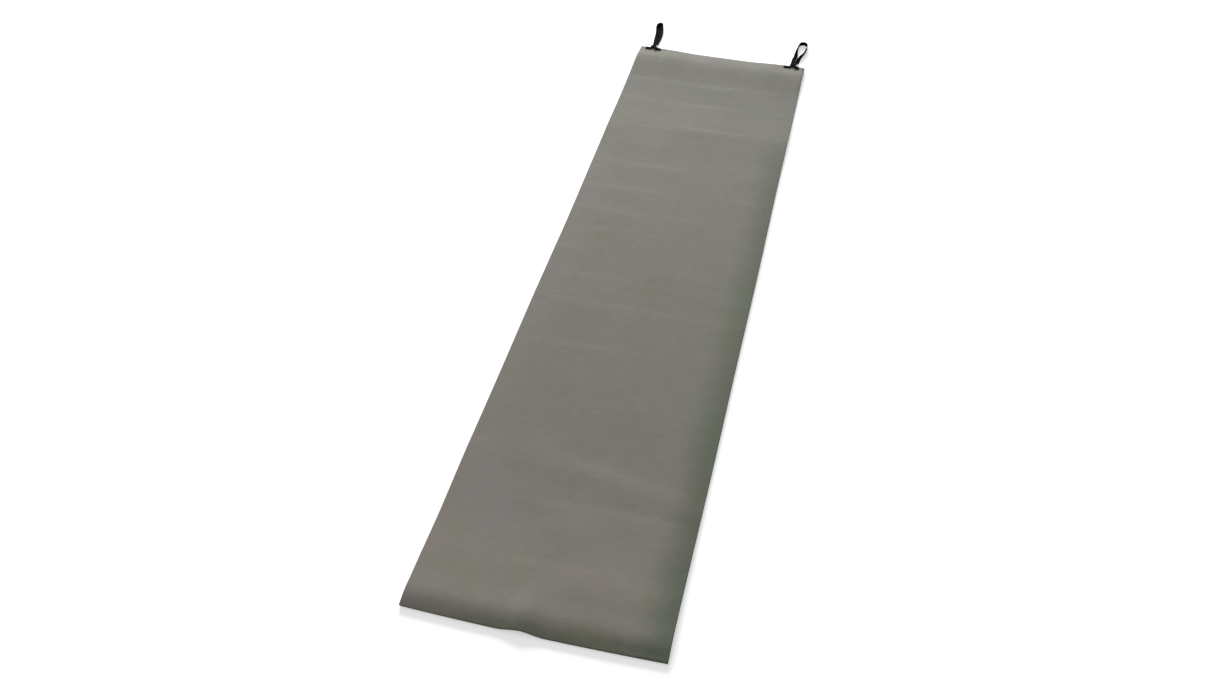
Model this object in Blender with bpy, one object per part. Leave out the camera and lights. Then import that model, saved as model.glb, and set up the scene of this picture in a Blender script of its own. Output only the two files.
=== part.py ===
"""Closed-cell foam sleeping mat, lying unrolled, with two sewn elastic loops at its far end.

Metres, +Z up. The origin is on the floor under the middle of the sheet, and +Y runs towards the
loops. The sheet is one thickness of foam that still remembers being rolled, so it lifts a little at
both ends. Each elastic is one flat band: its two ends are folded at 45 degrees over each other and
sewn to the foam, and what is between them is the loop that swings about the sewn throat.
"""

import math

import bmesh
import bpy
import numpy as np
from mathutils import Vector

MM = 0.001
HALF_TURN = math.pi
QUARTER_TURN = math.pi / 2
ROOT_TWO = math.sqrt(2.0)

# Foam sheet
SHEET_LENGTH = 1.800
SHEET_WIDTH = 0.500
SHEET_THICKNESS = 0.007
SHEET_EDGE_CHAMFER = 0.0008

# Roll memory of the near end: a hump behind the edge, which itself touches the floor
HUMP_HEIGHT = 0.0075
HUMP_SETBACK = 0.044
HUMP_REACH = 0.220
HUMP_RIGHT_SHARE = 0.55
HUMP_FADE_WIDTH = 0.120

# The near edge bows out a little, with a small wave just left of its middle
EDGE_BOW = 0.0035
EDGE_BOW_DEPTH = 0.300
WAVE_LIFT = 0.005
WAVE_PLACE = -0.022
WAVE_HALF_WIDTH = 0.046
WAVE_DEPTH = 0.110
WAVE_DRAW = 0.003

# Soft ridge that slants across the near third
RIDGE_HEIGHT = 0.0015
RIDGE_HALF_WIDTH = 0.045
RIDGE_LEFT_SETBACK = 0.380
RIDGE_RIGHT_SETBACK = 0.287
RIDGE_END_FADE = 0.200

# Far end, lifted where the elastics are sewn on
TEE_LIFT = 0.004
TEE_LIFT_FLAT_DEPTH = 0.038
TEE_LIFT_REACH = 0.180
TEE_LIFT_SPARE = 0.0085
TEE_LIFT_FADE = 0.110
CORNER_SHARE = 0.35

# Grid of the sheet's surface
SHEET_COLUMNS = 12
HUMP_RISE_ROWS = 4
HUMP_FALL_ROWS = 6
RIDGE_ROWS = 8
MIDDLE_ROWS = 4
FAR_ROWS = 5

# Elastic band
BAND_WIDTH = 0.012
BAND_THICKNESS = 0.001
BAND_EDGE_WIDTH = 0.0005
BAND_EDGE_DROP = 0.0003
SEAT_GAP = 0.0003
FLOOR_GAP = 0.0002

# Sewn tee of each elastic. Its lower leg stands to the left of the upper leg, which crosses it
TEE_INSET = 0.0395
TEE_REACH = 0.023
TEE_EDGE_MARGIN = 0.0015
LEFT_LOWER_LEG = -0.0035
LEFT_UPPER_LEG = 0.0015
RIGHT_LOWER_LEG = 0.0003
RIGHT_UPPER_LEG = 0.0072
RAMP_LENGTH = 0.0046
RAMP_SPARE = 0.0004
RAMP_STEPS = 4
FOLD_STEPS = 5

# Bar tacks
TACK_LENGTH = 0.0085
THROAT_TACK_LENGTH = 0.010
THROAT_TACK_INSET = 0.0014
TACK_WIDTH = 0.0018
TACK_BAR = 0.0006
TACK_LEG = 0.0007
TACK_SEAT = 0.00035
TACK_SUNK = 0.0001
ARM_TACK_INSET = 0.0024
STITCH_CLEARANCE = 0.0003

# Each loop's route from the lower leg out, round and back to the upper leg, in millimetres and
# degrees: sideways from the middle of the tee, outwards from the end of the sheet, the height of
# the band's lower side over the floor, the tilt of its width (90 is on edge) and its slant.
LOOP_DROP = 0.031
LEFT_ROUTE = (
    (-3.4, 8.0, 0.0, 0, 0),
    (-3.4, 19.0, 0.0, 0, 0),
    (-4.2, 32.0, 0.0, 0, 0),
    (-6.4, 50.0, 0.0, 0, 0),
    (-8.0, 68.0, 0.0, 3, 0),
    (-9.2, 86.0, 0.0, 8, 4),
    (-12.4, 104.0, 0.0, 18, 6),
    (-14.9, 116.0, 0.0, 29, 6),
    (-16.0, 123.0, 0.0, 43, 2),
    (-14.8, 129.2, 0.0, 60, -32),
    (-9.6, 132.9, 0.0, 70, -90),
    (-4.6, 129.8, 0.2, 60, -146),
    (-3.2, 123.4, 0.9, 43, -172),
    (-2.5, 116.0, 1.6, 29, -172),
    (-0.4, 104.0, 1.9, 18, -168),
    (2.2, 88.0, 1.9, 9, -174),
    (3.3, 70.0, 1.8, 4, -180),
    (2.7, 52.0, 1.8, 0, -180),
    (1.5, 34.0, 1.9, 0, -180),
    (1.3, 19.0, 1.9, 0, -180),
    (1.4, 8.0, 1.3, 0, -180),
)
RIGHT_ROUTE = (
    (0.2, 8.0, 0.0, 0, 0),
    (0.2, 19.0, 0.0, 0, 0),
    (0.4, 32.0, 0.0, 0, 0),
    (1.0, 48.0, 0.0, 4, 0),
    (3.8, 62.0, 0.0, 12, 0),
    (4.4, 75.0, 0.0, 36, 0),
    (4.6, 89.0, 0.0, 66, 0),
    (5.4, 103.0, 0.0, 82, 0),
    (6.8, 117.0, 0.0, 90, 0),
    (10.6, 127.0, 0.0, 90, 0),
    (19.8, 131.2, 0.0, 90, 0),
    (28.8, 127.0, 0.0, 90, 0),
    (32.4, 117.0, 0.0, 90, 0),
    (31.4, 104.0, 0.0, 90, 0),
    (28.8, 90.0, 0.0, 90, 0),
    (25.4, 75.0, 0.0, 88, 0),
    (20.4, 61.0, 0.0, 75, 0),
    (15.8, 48.0, 0.0, 42, 0),
    (13.2, 37.0, 0.6, 18, 0),
    (12.0, 27.0, 1.3, 9, 0),
    (10.9, 17.0, 1.6, 4, 0),
    (9.1, 8.0, 1.4, 0, 0),
)
ROUTE_STEPS = 5
ROUTE_NUDGE = 0.01

FOAM_COLOR = (0.212, 0.202, 0.180, 1.0)
FOAM_ROUGHNESS = 0.85
ELASTIC_COLOR = (0.012, 0.012, 0.013, 1.0)
ELASTIC_ROUGHNESS = 0.80
THREAD_COLOR = (0.020, 0.020, 0.022, 1.0)
THREAD_ROUGHNESS = 0.60

# Worked out from the sizes above
NEAR_EDGE = -SHEET_LENGTH / 2
FAR_EDGE = SHEET_LENGTH / 2
HALF_WIDTH = SHEET_WIDTH / 2
TEE_SIDE = HALF_WIDTH - TEE_INSET
TEE_LIFT_INNER = TEE_SIDE - TEE_REACH - TEE_LIFT_SPARE
TEE_LIFT_OUTER = TEE_SIDE + TEE_REACH + TEE_LIFT_SPARE
TEE_LINE = FAR_EDGE - TEE_EDGE_MARGIN - BAND_WIDTH / 2
TEE_TOP = TEE_LIFT + SHEET_THICKNESS
ARM_TACK_PLACE = TEE_REACH - ARM_TACK_INSET
THROAT_TACK_PLACE = BAND_WIDTH / 2 - THROAT_TACK_INSET
LEFT_LEGS = (LEFT_LOWER_LEG, LEFT_UPPER_LEG)
RIGHT_LEGS = (RIGHT_LOWER_LEG, RIGHT_UPPER_LEG)
LAYER_PITCH = BAND_THICKNESS + SEAT_GAP
FOLD_RADIUS = LAYER_PITCH / 2
FOLD_TRAVEL = HALF_TURN * FOLD_RADIUS / ROOT_TWO
LEG_END = FAR_EDGE - TEE_LINE - SEAT_GAP / 2
FIRST_LAYER = TEE_TOP + SEAT_GAP + BAND_THICKNESS / 2
LOWER_LEG_LAYER = FIRST_LAYER + LAYER_PITCH
UPPER_LEG_LAYER = FIRST_LAYER + 3 * LAYER_PITCH
HINGE_HEIGHT = UPPER_LEG_LAYER + BAND_THICKNESS / 2 + TACK_SEAT + TACK_BAR + SEAT_GAP


def clear_scene():
    for item in list(bpy.data.objects):
        bpy.data.objects.remove(item)
    for mesh in list(bpy.data.meshes):
        bpy.data.meshes.remove(mesh)


def make_material(name, color, roughness):
    material = bpy.data.materials.new(name)
    material.use_nodes = True
    shader = material.node_tree.nodes["Principled BSDF"]
    shader.inputs["Base Color"].default_value = color
    shader.inputs["Roughness"].default_value = roughness
    shader.inputs["Metallic"].default_value = 0.0
    return material


def add_object(name, bm, material=None):
    """Turns a bmesh into an object of the scene, with its faces pointing out."""
    bmesh.ops.recalc_face_normals(bm, faces=bm.faces[:])
    if bm.calc_volume(signed=True) < 0.0:
        bmesh.ops.reverse_faces(bm, faces=bm.faces[:])
    mesh = bpy.data.meshes.new(name)
    bm.to_mesh(mesh)
    bm.free()
    item = bpy.data.objects.new(name, mesh)
    bpy.context.scene.collection.objects.link(item)
    if material:
        mesh.materials.append(material)
    return item


def make_cutter(name, bm):
    cutter = add_object(name, bm)
    cutter.hide_render = True
    cutter.display_type = "WIRE"
    return cutter


def cut(item, cutter):
    modifier = item.modifiers.new("cut_" + cutter.name, "BOOLEAN")
    modifier.operation = "DIFFERENCE"
    modifier.object = cutter


def smooth(share):
    """0 below 0, 1 above 1, and an even S between."""
    share = min(max(share, 0.0), 1.0)
    return share * share * (3.0 - 2.0 * share)


def swell(share):
    """1 in the middle, falling smoothly to 0 at -1 and 1."""
    return smooth(1.0 - abs(share))


def slice_plate(bm, point, normal):
    everything = bm.verts[:] + bm.edges[:] + bm.faces[:]
    bmesh.ops.bisect_plane(bm, geom=everything, plane_co=point, plane_no=normal)


def hump(x, setback):
    """Lift of the rolled-up near end, lower on its right side."""
    if setback < HUMP_SETBACK:
        rise = math.sin(QUARTER_TURN * setback / HUMP_SETBACK)
    else:
        rise = smooth((HUMP_REACH - setback) / (HUMP_REACH - HUMP_SETBACK))
    fade = smooth((x - HALF_WIDTH + HUMP_FADE_WIDTH) / HUMP_FADE_WIDTH)
    return HUMP_HEIGHT * rise * (1.0 - (1.0 - HUMP_RIGHT_SHARE) * fade)


def wave(x, setback):
    across = swell((x - WAVE_PLACE) / WAVE_HALF_WIDTH)
    return across * smooth(1.0 - setback / WAVE_DEPTH)


def edge_shift(x, setback):
    """How far the near edge is drawn in at its wave, less its bow outwards."""
    bow = (1.0 - (x / HALF_WIDTH) ** 2) * smooth(1.0 - setback / EDGE_BOW_DEPTH)
    return WAVE_DRAW * wave(x, setback) - EDGE_BOW * bow


def ridge(x, setback):
    share = x / SHEET_WIDTH + 0.5
    crest = RIDGE_LEFT_SETBACK + (RIDGE_RIGHT_SETBACK - RIDGE_LEFT_SETBACK) * share
    fade = smooth((x + HALF_WIDTH) / RIDGE_END_FADE)
    return RIDGE_HEIGHT * fade * swell((setback - crest) / RIDGE_HALF_WIDTH)


def tee_lift(x, from_far):
    """Level where an elastic is sewn on, fading to the middle of the sheet and at the corner."""
    inner = smooth((abs(x) - TEE_LIFT_INNER + TEE_LIFT_FADE) / TEE_LIFT_FADE)
    corner = smooth((abs(x) - TEE_LIFT_OUTER) / (HALF_WIDTH - TEE_LIFT_OUTER))
    depth = smooth((TEE_LIFT_REACH - from_far) / (TEE_LIFT_REACH - TEE_LIFT_FLAT_DEPTH))
    return TEE_LIFT * inner * (1.0 - (1.0 - CORNER_SHARE) * corner) * depth


def sheet_lift(x, y):
    """Height of the sheet's underside over the floor: nothing at all where it lies flat."""
    setback = y - NEAR_EDGE
    near = hump(x, setback) + WAVE_LIFT * wave(x, setback) + ridge(x, setback)
    return near + tee_lift(x, FAR_EDGE - y)


def sheet_lines():
    """Places where the sheet's surface is divided: close where it bends, wide where it is flat."""
    columns = list(np.linspace(-HALF_WIDTH, HALF_WIDTH, SHEET_COLUMNS + 1)[1:-1])
    for side in (-1.0, 1.0):
        columns += [side * TEE_LIFT_INNER, side * TEE_LIFT_OUTER]
    crest = NEAR_EDGE + HUMP_SETBACK
    ridge_start = NEAR_EDGE + HUMP_REACH
    ridge_end = NEAR_EDGE + RIDGE_LEFT_SETBACK + RIDGE_HALF_WIDTH
    far_start = FAR_EDGE - TEE_LIFT_REACH
    far_end = FAR_EDGE - TEE_LIFT_FLAT_DEPTH
    rows = list(np.linspace(NEAR_EDGE, crest, HUMP_RISE_ROWS + 1)[1:])
    rows += list(np.linspace(crest, ridge_start, HUMP_FALL_ROWS + 1)[1:])
    rows += list(np.linspace(ridge_start, ridge_end, RIDGE_ROWS + 1)[1:])
    rows += list(np.linspace(ridge_end, far_start, MIDDLE_ROWS + 1)[1:])
    rows += list(np.linspace(far_start, far_end, FAR_ROWS + 1)[1:])
    return columns, rows


def make_sheet(material):
    bm = bmesh.new()
    bmesh.ops.create_cube(bm, size=1.0)
    bmesh.ops.scale(bm, vec=(SHEET_WIDTH, SHEET_LENGTH, SHEET_THICKNESS), verts=bm.verts[:])
    bmesh.ops.translate(bm, vec=(0, 0, SHEET_THICKNESS / 2), verts=bm.verts[:])
    bmesh.ops.bevel(
        bm, geom=bm.edges[:], offset=SHEET_EDGE_CHAMFER, segments=1, profile=0.5, affect="EDGES"
    )
    columns, rows = sheet_lines()
    for x in columns:
        slice_plate(bm, (x, 0, 0), (1, 0, 0))
    for y in rows:
        slice_plate(bm, (0, y, 0), (0, 1, 0))
    for vertex in bm.verts:
        x, y, z = vertex.co
        vertex.co = Vector((x, y + edge_shift(x, y - NEAR_EDGE), z + sheet_lift(x, y)))
    return add_object("foam_sheet", bm, material)


def flat_band(length):
    """A straight band along X from 0 to length, its width along Y, with softly rounded edges."""
    half = BAND_WIDTH / 2
    thick = BAND_THICKNESS / 2
    inner = half - BAND_EDGE_WIDTH
    low = thick - BAND_EDGE_DROP
    outline = [(-half, low), (-inner, thick), (inner, thick), (half, low)]
    outline += [(-y, -z) for y, z in outline]
    bm = bmesh.new()
    ring = [bm.verts.new((0.0, y, z)) for y, z in outline]
    face = bm.faces.new(ring)
    moved = bmesh.ops.extrude_face_region(bm, geom=[face], use_keep_orig=True)
    tip = [part for part in moved["geom"] if isinstance(part, bmesh.types.BMVert)]
    bmesh.ops.translate(bm, vec=(length, 0, 0), verts=tip)
    return bm


def bend_band(bm, place):
    """Bends a flat band: place gives the point and the upward normal for each spot of its middle."""
    for vertex in bm.verts:
        along, across, above = vertex.co
        point, normal = place(along, across)
        vertex.co = point + normal * above


def fold(x, y, crease, lift):
    """Point and normal of a flat band along X that is folded over at 45 degrees, to run along Y.

    crease is where the fold line crosses the band's middle. The band rolls over it on FOLD_RADIUS,
    and lies one layer higher beyond it. lift is the height of the band before the fold.
    """
    across_fold = Vector((1.0, -1.0, 0.0)) / ROOT_TWO
    beyond = (x - crease - y) / ROOT_TWO
    foot = Vector((x, y, lift)) - across_fold * beyond
    if beyond <= 0.0:
        return Vector((x, y, lift)), Vector((0, 0, 1))
    if beyond >= HALF_TURN * FOLD_RADIUS:
        rest = beyond - HALF_TURN * FOLD_RADIUS
        return foot - across_fold * rest + Vector((0, 0, 2 * FOLD_RADIUS)), Vector((0, 0, -1))
    turn = beyond / FOLD_RADIUS
    rise = Vector((0, 0, FOLD_RADIUS * (1.0 - math.cos(turn))))
    point = foot + across_fold * FOLD_RADIUS * math.sin(turn) + rise
    normal = Vector((0, 0, math.cos(turn))) - across_fold * math.sin(turn)
    return point, normal


def make_band_end(name, tee_x, side, leg, layer, material):
    """A sewn end: the arm on the foam, its 45-degree fold and the start of the leg.

    side is 1 for an arm that comes in from the left and -1 for one from the right, and leg is how
    far its leg stands to the right of the tee's middle. layer is how many layers of band already
    lie under the leg: the arm ramps up on to them just before its fold.
    """
    leg_middle = side * leg
    crease = leg_middle - FOLD_TRAVEL
    ramp_end = crease - BAND_WIDTH / 2 - RAMP_SPARE
    ramp_start = ramp_end - RAMP_LENGTH
    height = layer * LAYER_PITCH
    bm = flat_band(TEE_REACH + leg_middle + LEG_END)
    if layer:
        for x in np.linspace(ramp_start, ramp_end, RAMP_STEPS + 1):
            slice_plate(bm, (TEE_REACH + x, 0, 0), (1, 0, 0))
    for beyond in np.linspace(0.0, HALF_TURN * FOLD_RADIUS, FOLD_STEPS + 1):
        point = (TEE_REACH + crease + beyond * ROOT_TWO, 0, 0)
        slice_plate(bm, point, (1, -1, 0))

    def place(along, across):
        x = along - TEE_REACH
        share = (x - ramp_start) / RAMP_LENGTH
        point, normal = fold(x, across, crease, height * smooth(share))
        if 0.0 < share < 1.0:
            slope = height * 6.0 * share * (1.0 - share) / RAMP_LENGTH
            normal = Vector((-slope, 0.0, 1.0)).normalized()
        point = Vector((tee_x + side * point.x, TEE_LINE + point.y, FIRST_LAYER + point.z))
        return point, Vector((side * normal.x, normal.y, normal.z))

    bend_band(bm, place)
    return add_object(name, bm, material)


def width_direction(tilt, slant):
    """Direction of the band's width: towards -X when level, straight up at a quarter turn."""
    level = math.cos(tilt)
    return Vector((-level * math.cos(slant), -level * math.sin(slant), math.sin(tilt)))


def route_slopes(table, marks):
    """Slope of each column of a route at each of its points; the band leaves both legs straight."""
    inner = (table[2:] - table[:-2]) / (marks[2:] - marks[:-2])[:, None]
    ends = np.zeros((2, table.shape[1]))
    ends[:, 1] = (1.0, -1.0)
    return np.vstack([ends[:1], inner, ends[1:]])


def band_middle(route, legs, tee_x):
    """A function of the place along a route that gives the band's middle and its width direction."""
    end_gap = SEAT_GAP / 2 / MM
    first = (legs[0] / MM, end_gap, 0, 0, 0)
    last = (legs[1] / MM, end_gap, 0, 0, route[-1][-1])
    table = np.array((first,) + route + (last,), dtype=float)
    marks = np.concatenate([[0.0], np.cumsum(np.linalg.norm(np.diff(table[:, :3], axis=0), axis=1))])
    slopes = route_slopes(table, marks)

    def middle(place):
        span = min(int(place), len(table) - 2)
        t = place - span
        gap = marks[span + 1] - marks[span]
        lead = t * (1 - t) ** 2 * gap
        trail = t * t * (t - 1) * gap
        turn = t * t * (3 - 2 * t)
        row = table[span] + turn * (table[span + 1] - table[span])
        sideways, outwards, low_side, tilt, slant = row + lead * slopes[span] + trail * slopes[span + 1]
        layer = LOWER_LEG_LAYER if 2 * place < len(table) - 1 else UPPER_LEG_LAYER
        drop = (layer - FLOOR_GAP - BAND_THICKNESS / 2) * (1.0 - smooth(outwards * MM / LOOP_DROP))
        tilt = math.radians(tilt)
        half_height = BAND_WIDTH * abs(math.sin(tilt)) + BAND_THICKNESS * math.cos(tilt)
        height = FLOOR_GAP + low_side * MM + half_height / 2 + drop
        point = Vector((tee_x + sideways * MM, FAR_EDGE + outwards * MM, height))
        return point, width_direction(tilt, math.radians(slant))

    return middle, len(table) - 1


def smooth_route(route, legs, tee_x):
    """Point, width direction and heading at even steps along a route."""
    middle, spans = band_middle(route, legs, tee_x)
    stations = []
    for place in np.linspace(0.0, spans, spans * ROUTE_STEPS + 1):
        point, width = middle(place)
        before, _ = middle(max(place - ROUTE_NUDGE, 0.0))
        after, _ = middle(min(place + ROUTE_NUDGE, spans))
        heading = (after - before).normalized()
        width = (width - heading * width.dot(heading)).normalized()
        stations.append((point, width, heading))
    return stations


def make_loop(name, tee_x, legs, route, material):
    """The free loop: a flat band bent along its route. Its origin is on its hinge line."""
    stations = smooth_route(route, legs, tee_x)
    bm = flat_band(float(len(stations) - 1))
    for number in range(1, len(stations) - 1):
        slice_plate(bm, (number, 0, 0), (1, 0, 0))

    def place(along, across):
        point, width, heading = stations[int(round(along))]
        return point + width * across, heading.cross(width)

    bend_band(bm, place)
    hinge = Vector((tee_x, FAR_EDGE, HINGE_HEIGHT))
    bmesh.ops.translate(bm, vec=-hinge, verts=bm.verts[:])
    item = add_object(name, bm, material)
    item.location = hinge
    return item


def stitch_ring(middle, along_x, length, bottom, top, spare):
    """A closed ring of thread: a bar on top, a bar below and two legs that join them.

    spare makes the ring thicker all round, for the cutter that opens its way through foam and band.
    """
    bm = bmesh.new()
    outer = (length / 2 + spare, bottom - spare, top + spare)
    inner = (length / 2 - TACK_LEG - spare, bottom + TACK_BAR + spare, top - TACK_BAR - spare)
    rings = []
    for half, low, high in (outer, inner):
        corners = ((-half, low), (half, low), (half, high), (-half, high))
        rings.append([bm.verts.new((u, -TACK_WIDTH / 2 - spare, z)) for u, z in corners])
    faces = []
    for number in range(4):
        after = (number + 1) % 4
        corners = (rings[0][number], rings[0][after], rings[1][after], rings[1][number])
        faces.append(bm.faces.new(corners))
    moved = bmesh.ops.extrude_face_region(bm, geom=faces, use_keep_orig=True)
    tip = [part for part in moved["geom"] if isinstance(part, bmesh.types.BMVert)]
    bmesh.ops.translate(bm, vec=(0, TACK_WIDTH + 2 * spare, 0), verts=tip)
    for vertex in bm.verts:
        u, v, z = vertex.co
        x, y = (u, v) if along_x else (v, u)
        vertex.co = Vector((middle[0] + x, middle[1] + y, z))
    return bm


def make_tack(name, middle, along_x, length, top_layer, cut_items, material):
    """A bar tack sewn down through the band and the foam, with its way cut through both."""
    bottom = TEE_LIFT + TACK_SUNK
    top = top_layer + BAND_THICKNESS / 2 + TACK_SEAT + TACK_BAR
    ring = (middle, along_x, length, bottom, top)
    tack = add_object(name, stitch_ring(*ring, 0.0), material)
    cutter = make_cutter(name + "_way", stitch_ring(*ring, STITCH_CLEARANCE))
    for item in cut_items:
        cut(item, cutter)
    return tack


def make_elastic(prefix, tee_x, legs, route, sheet, elastic, thread):
    """One elastic: two sewn ends, the free loop between them and three bar tacks."""
    lower = make_band_end(prefix + "_elastic_lower_end", tee_x, 1.0, legs[0], 0, elastic)
    upper = make_band_end(prefix + "_elastic_upper_end", tee_x, -1.0, legs[1], 2, elastic)
    make_loop(prefix + "_elastic_loop", tee_x, legs, route, elastic)
    for end, side, item in (("lower", -1, lower), ("upper", 1, upper)):
        spot = (tee_x + side * ARM_TACK_PLACE, TEE_LINE)
        name = prefix + "_" + end + "_end_tack"
        make_tack(name, spot, False, TACK_LENGTH, FIRST_LAYER, [sheet, item], thread)
    spot = (tee_x + sum(legs) / 2, TEE_LINE + THROAT_TACK_PLACE)
    name = prefix + "_throat_tack"
    both = [sheet, lower, upper]
    make_tack(name, spot, True, THROAT_TACK_LENGTH, UPPER_LEG_LAYER, both, thread)


def main():
    clear_scene()
    foam = make_material("foam", FOAM_COLOR, FOAM_ROUGHNESS)
    elastic = make_material("elastic", ELASTIC_COLOR, ELASTIC_ROUGHNESS)
    thread = make_material("thread", THREAD_COLOR, THREAD_ROUGHNESS)
    sheet = make_sheet(foam)
    make_elastic("left", -TEE_SIDE, LEFT_LEGS, LEFT_ROUTE, sheet, elastic, thread)
    make_elastic("right", TEE_SIDE, RIGHT_LEGS, RIGHT_ROUTE, sheet, elastic, thread)


main()
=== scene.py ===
"""Roll-up foam sleeping mat with two sewn elastic loops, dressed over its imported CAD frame.

Metres, in the frame of the CAD model: +Z up from the floor, +Y towards the end with the loops.
"""

import math

import bpy
import numpy as np
from bpy.props import FloatProperty, FloatVectorProperty, IntProperty, PointerProperty
from bpy.types import Operator, Panel, PropertyGroup
from mathutils import Matrix, Vector


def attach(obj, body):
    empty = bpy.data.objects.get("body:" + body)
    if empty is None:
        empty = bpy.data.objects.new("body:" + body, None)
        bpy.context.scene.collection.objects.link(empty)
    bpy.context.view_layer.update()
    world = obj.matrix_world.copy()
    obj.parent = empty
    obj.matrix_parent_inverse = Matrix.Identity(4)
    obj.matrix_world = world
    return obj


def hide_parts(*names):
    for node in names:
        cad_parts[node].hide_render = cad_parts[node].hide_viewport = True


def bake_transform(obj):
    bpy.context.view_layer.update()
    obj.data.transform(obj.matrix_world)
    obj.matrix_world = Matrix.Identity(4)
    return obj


bl_info = {
    "name": "Foam sleeping mat",
    "version": (1, 0, 0),
    "blender": (4, 5, 0),
    "location": "3D View > Sidebar > Sleeping mat",
    "description": "Dresses the packed mat: foam sheet, elastic loops, bar tacks and stage",
    "category": "Object",
}

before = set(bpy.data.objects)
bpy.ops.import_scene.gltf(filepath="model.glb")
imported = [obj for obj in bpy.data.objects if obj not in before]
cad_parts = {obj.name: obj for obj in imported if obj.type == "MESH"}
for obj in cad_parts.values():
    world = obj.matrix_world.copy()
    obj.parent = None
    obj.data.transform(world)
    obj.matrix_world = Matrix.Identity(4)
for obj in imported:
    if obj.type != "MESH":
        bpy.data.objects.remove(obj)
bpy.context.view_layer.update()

MM = 0.001
ROOT_TWO = math.sqrt(2.0)
TURN = 2.0 * math.pi

# The sheet and its lifts, as in the CAD source but for corners that stand a little higher
SHEET_LENGTH = 1.800
SHEET_WIDTH = 0.500
SHEET_THICKNESS = 0.007
HALF_WIDTH = SHEET_WIDTH / 2
NEAR_EDGE = -SHEET_LENGTH / 2
FAR_EDGE = SHEET_LENGTH / 2
HUMP_HEIGHT = 0.0075
HUMP_SETBACK = 0.044
HUMP_REACH = 0.220
HUMP_RIGHT_SHARE = 0.55
HUMP_FADE_WIDTH = 0.120
EDGE_BOW = 0.0035
EDGE_BOW_DEPTH = 0.300
WAVE_LIFT = 0.005
WAVE_PLACE = -0.022
WAVE_HALF_WIDTH = 0.046
WAVE_DEPTH = 0.110
WAVE_DRAW = 0.003
RIDGE_HEIGHT = 0.0015
RIDGE_HALF_WIDTH = 0.045
RIDGE_LEFT_SETBACK = 0.380
RIDGE_RIGHT_SETBACK = 0.287
RIDGE_END_FADE = 0.200
TEE_LIFT = 0.004
TEE_LIFT_FLAT_DEPTH = 0.038
TEE_LIFT_REACH = 0.180
TEE_LIFT_SPARE = 0.0085
TEE_LIFT_FADE = 0.110
CORNER_SHARE = 0.65

# Finer relief that the foam keeps from being rolled
RIDGE_FOOT = 0.055
FAR_LIP_HEIGHT = 0.0038
FAR_LIP_SETBACK = 0.047
FAR_LIP_REACH = 0.145
FAR_LIP_LEVEL = 0.012
FAR_LIP_SEWN_SHARE = 0.65
FAR_LIP_SIDE = 0.186
FAR_LIP_FADE = 0.035
CREASE_WANDER = 0.002
CREASE_FADE = 0.045
CREASE_DROP = 0.021
CREASE_ROW_STEP = 0.0033
SIDE_WANDER_FADE = 0.06

# How the foam gives way under the stitches and stands up beside the sewn arms
DIMPLE_REACH = 0.0024
SEAT_HALF_LENGTH = 0.018
SEAT_HALF_WIDTH = 0.0065
SEAT_FADE = 0.0015

# Each wave: place along the sheet, slant, height, climb, drop, and where across it starts and ends
ROLL_WAVES = (
    (0.541, 0.052, 0.0030, 0.130, 0.125, -0.50, 0.50),
    (0.741, 0.000, 0.0007, 0.045, 0.017, -0.35, 0.08),
    (0.746, 0.030, 0.0005, 0.040, 0.018, 0.02, 0.22),
    (0.648, 0.012, 0.0006, 0.060, 0.018, -0.35, 0.10),
    (0.650, 0.040, 0.0004, 0.050, 0.020, 0.04, 0.40),
    (0.538, 0.058, 0.0006, 0.040, 0.015, -0.24, 0.16),
    (0.545, 0.020, 0.0004, 0.040, 0.018, 0.08, 0.40),
    (0.455, 0.030, 0.0003, 0.040, 0.018, -0.40, -0.04),
    (0.365, 0.010, 0.0007, 0.055, 0.020, -0.40, 0.02),
    (0.372, 0.000, 0.0004, 0.050, 0.018, 0.10, 0.26),
    (0.270, 0.020, 0.0005, 0.055, 0.016, -0.40, -0.02),
    (0.276, 0.010, 0.0004, 0.050, 0.018, 0.10, 0.26),
    (0.176, -0.010, 0.0006, 0.055, 0.018, -0.40, -0.08),
    (0.181, 0.000, 0.0004, 0.050, 0.016, -0.02, 0.12),
    (0.112, 0.010, 0.0004, 0.045, 0.016, -0.20, 0.02),
    (0.034, 0.010, 0.0006, 0.055, 0.020, -0.40, -0.12),
    (-0.050, 0.000, 0.0004, 0.055, 0.016, -0.24, -0.08),
    (-0.044, -0.020, 0.0003, 0.050, 0.018, 0.08, 0.28),
    (-0.133, -0.012, 0.0005, 0.060, 0.017, -0.22, 0.26),
    (-0.256, 0.010, 0.0004, 0.060, 0.016, -0.22, 0.02),
    (-0.400, 0.015, 0.0003, 0.060, 0.016, -0.10, 0.24),
    (-0.597, -0.186, 0.0009, 0.120, 0.036, -0.40, 0.00),
    (-0.560, -0.130, 0.0003, 0.050, 0.020, -0.04, 0.24),
    (-0.650, 0.020, 0.0006, 0.034, 0.020, -0.10, 0.32),
    (-0.688, -0.010, 0.0021, 0.080, 0.060, -0.07, 0.34),
    (-0.776, 0.000, 0.0004, 0.030, 0.020, -0.10, 0.08),
    (-0.800, 0.010, 0.0015, 0.040, 0.055, 0.00, 0.26),
    (-0.881, 0.032, 0.0011, 0.022, 0.052, -0.50, 0.50),
)

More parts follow.
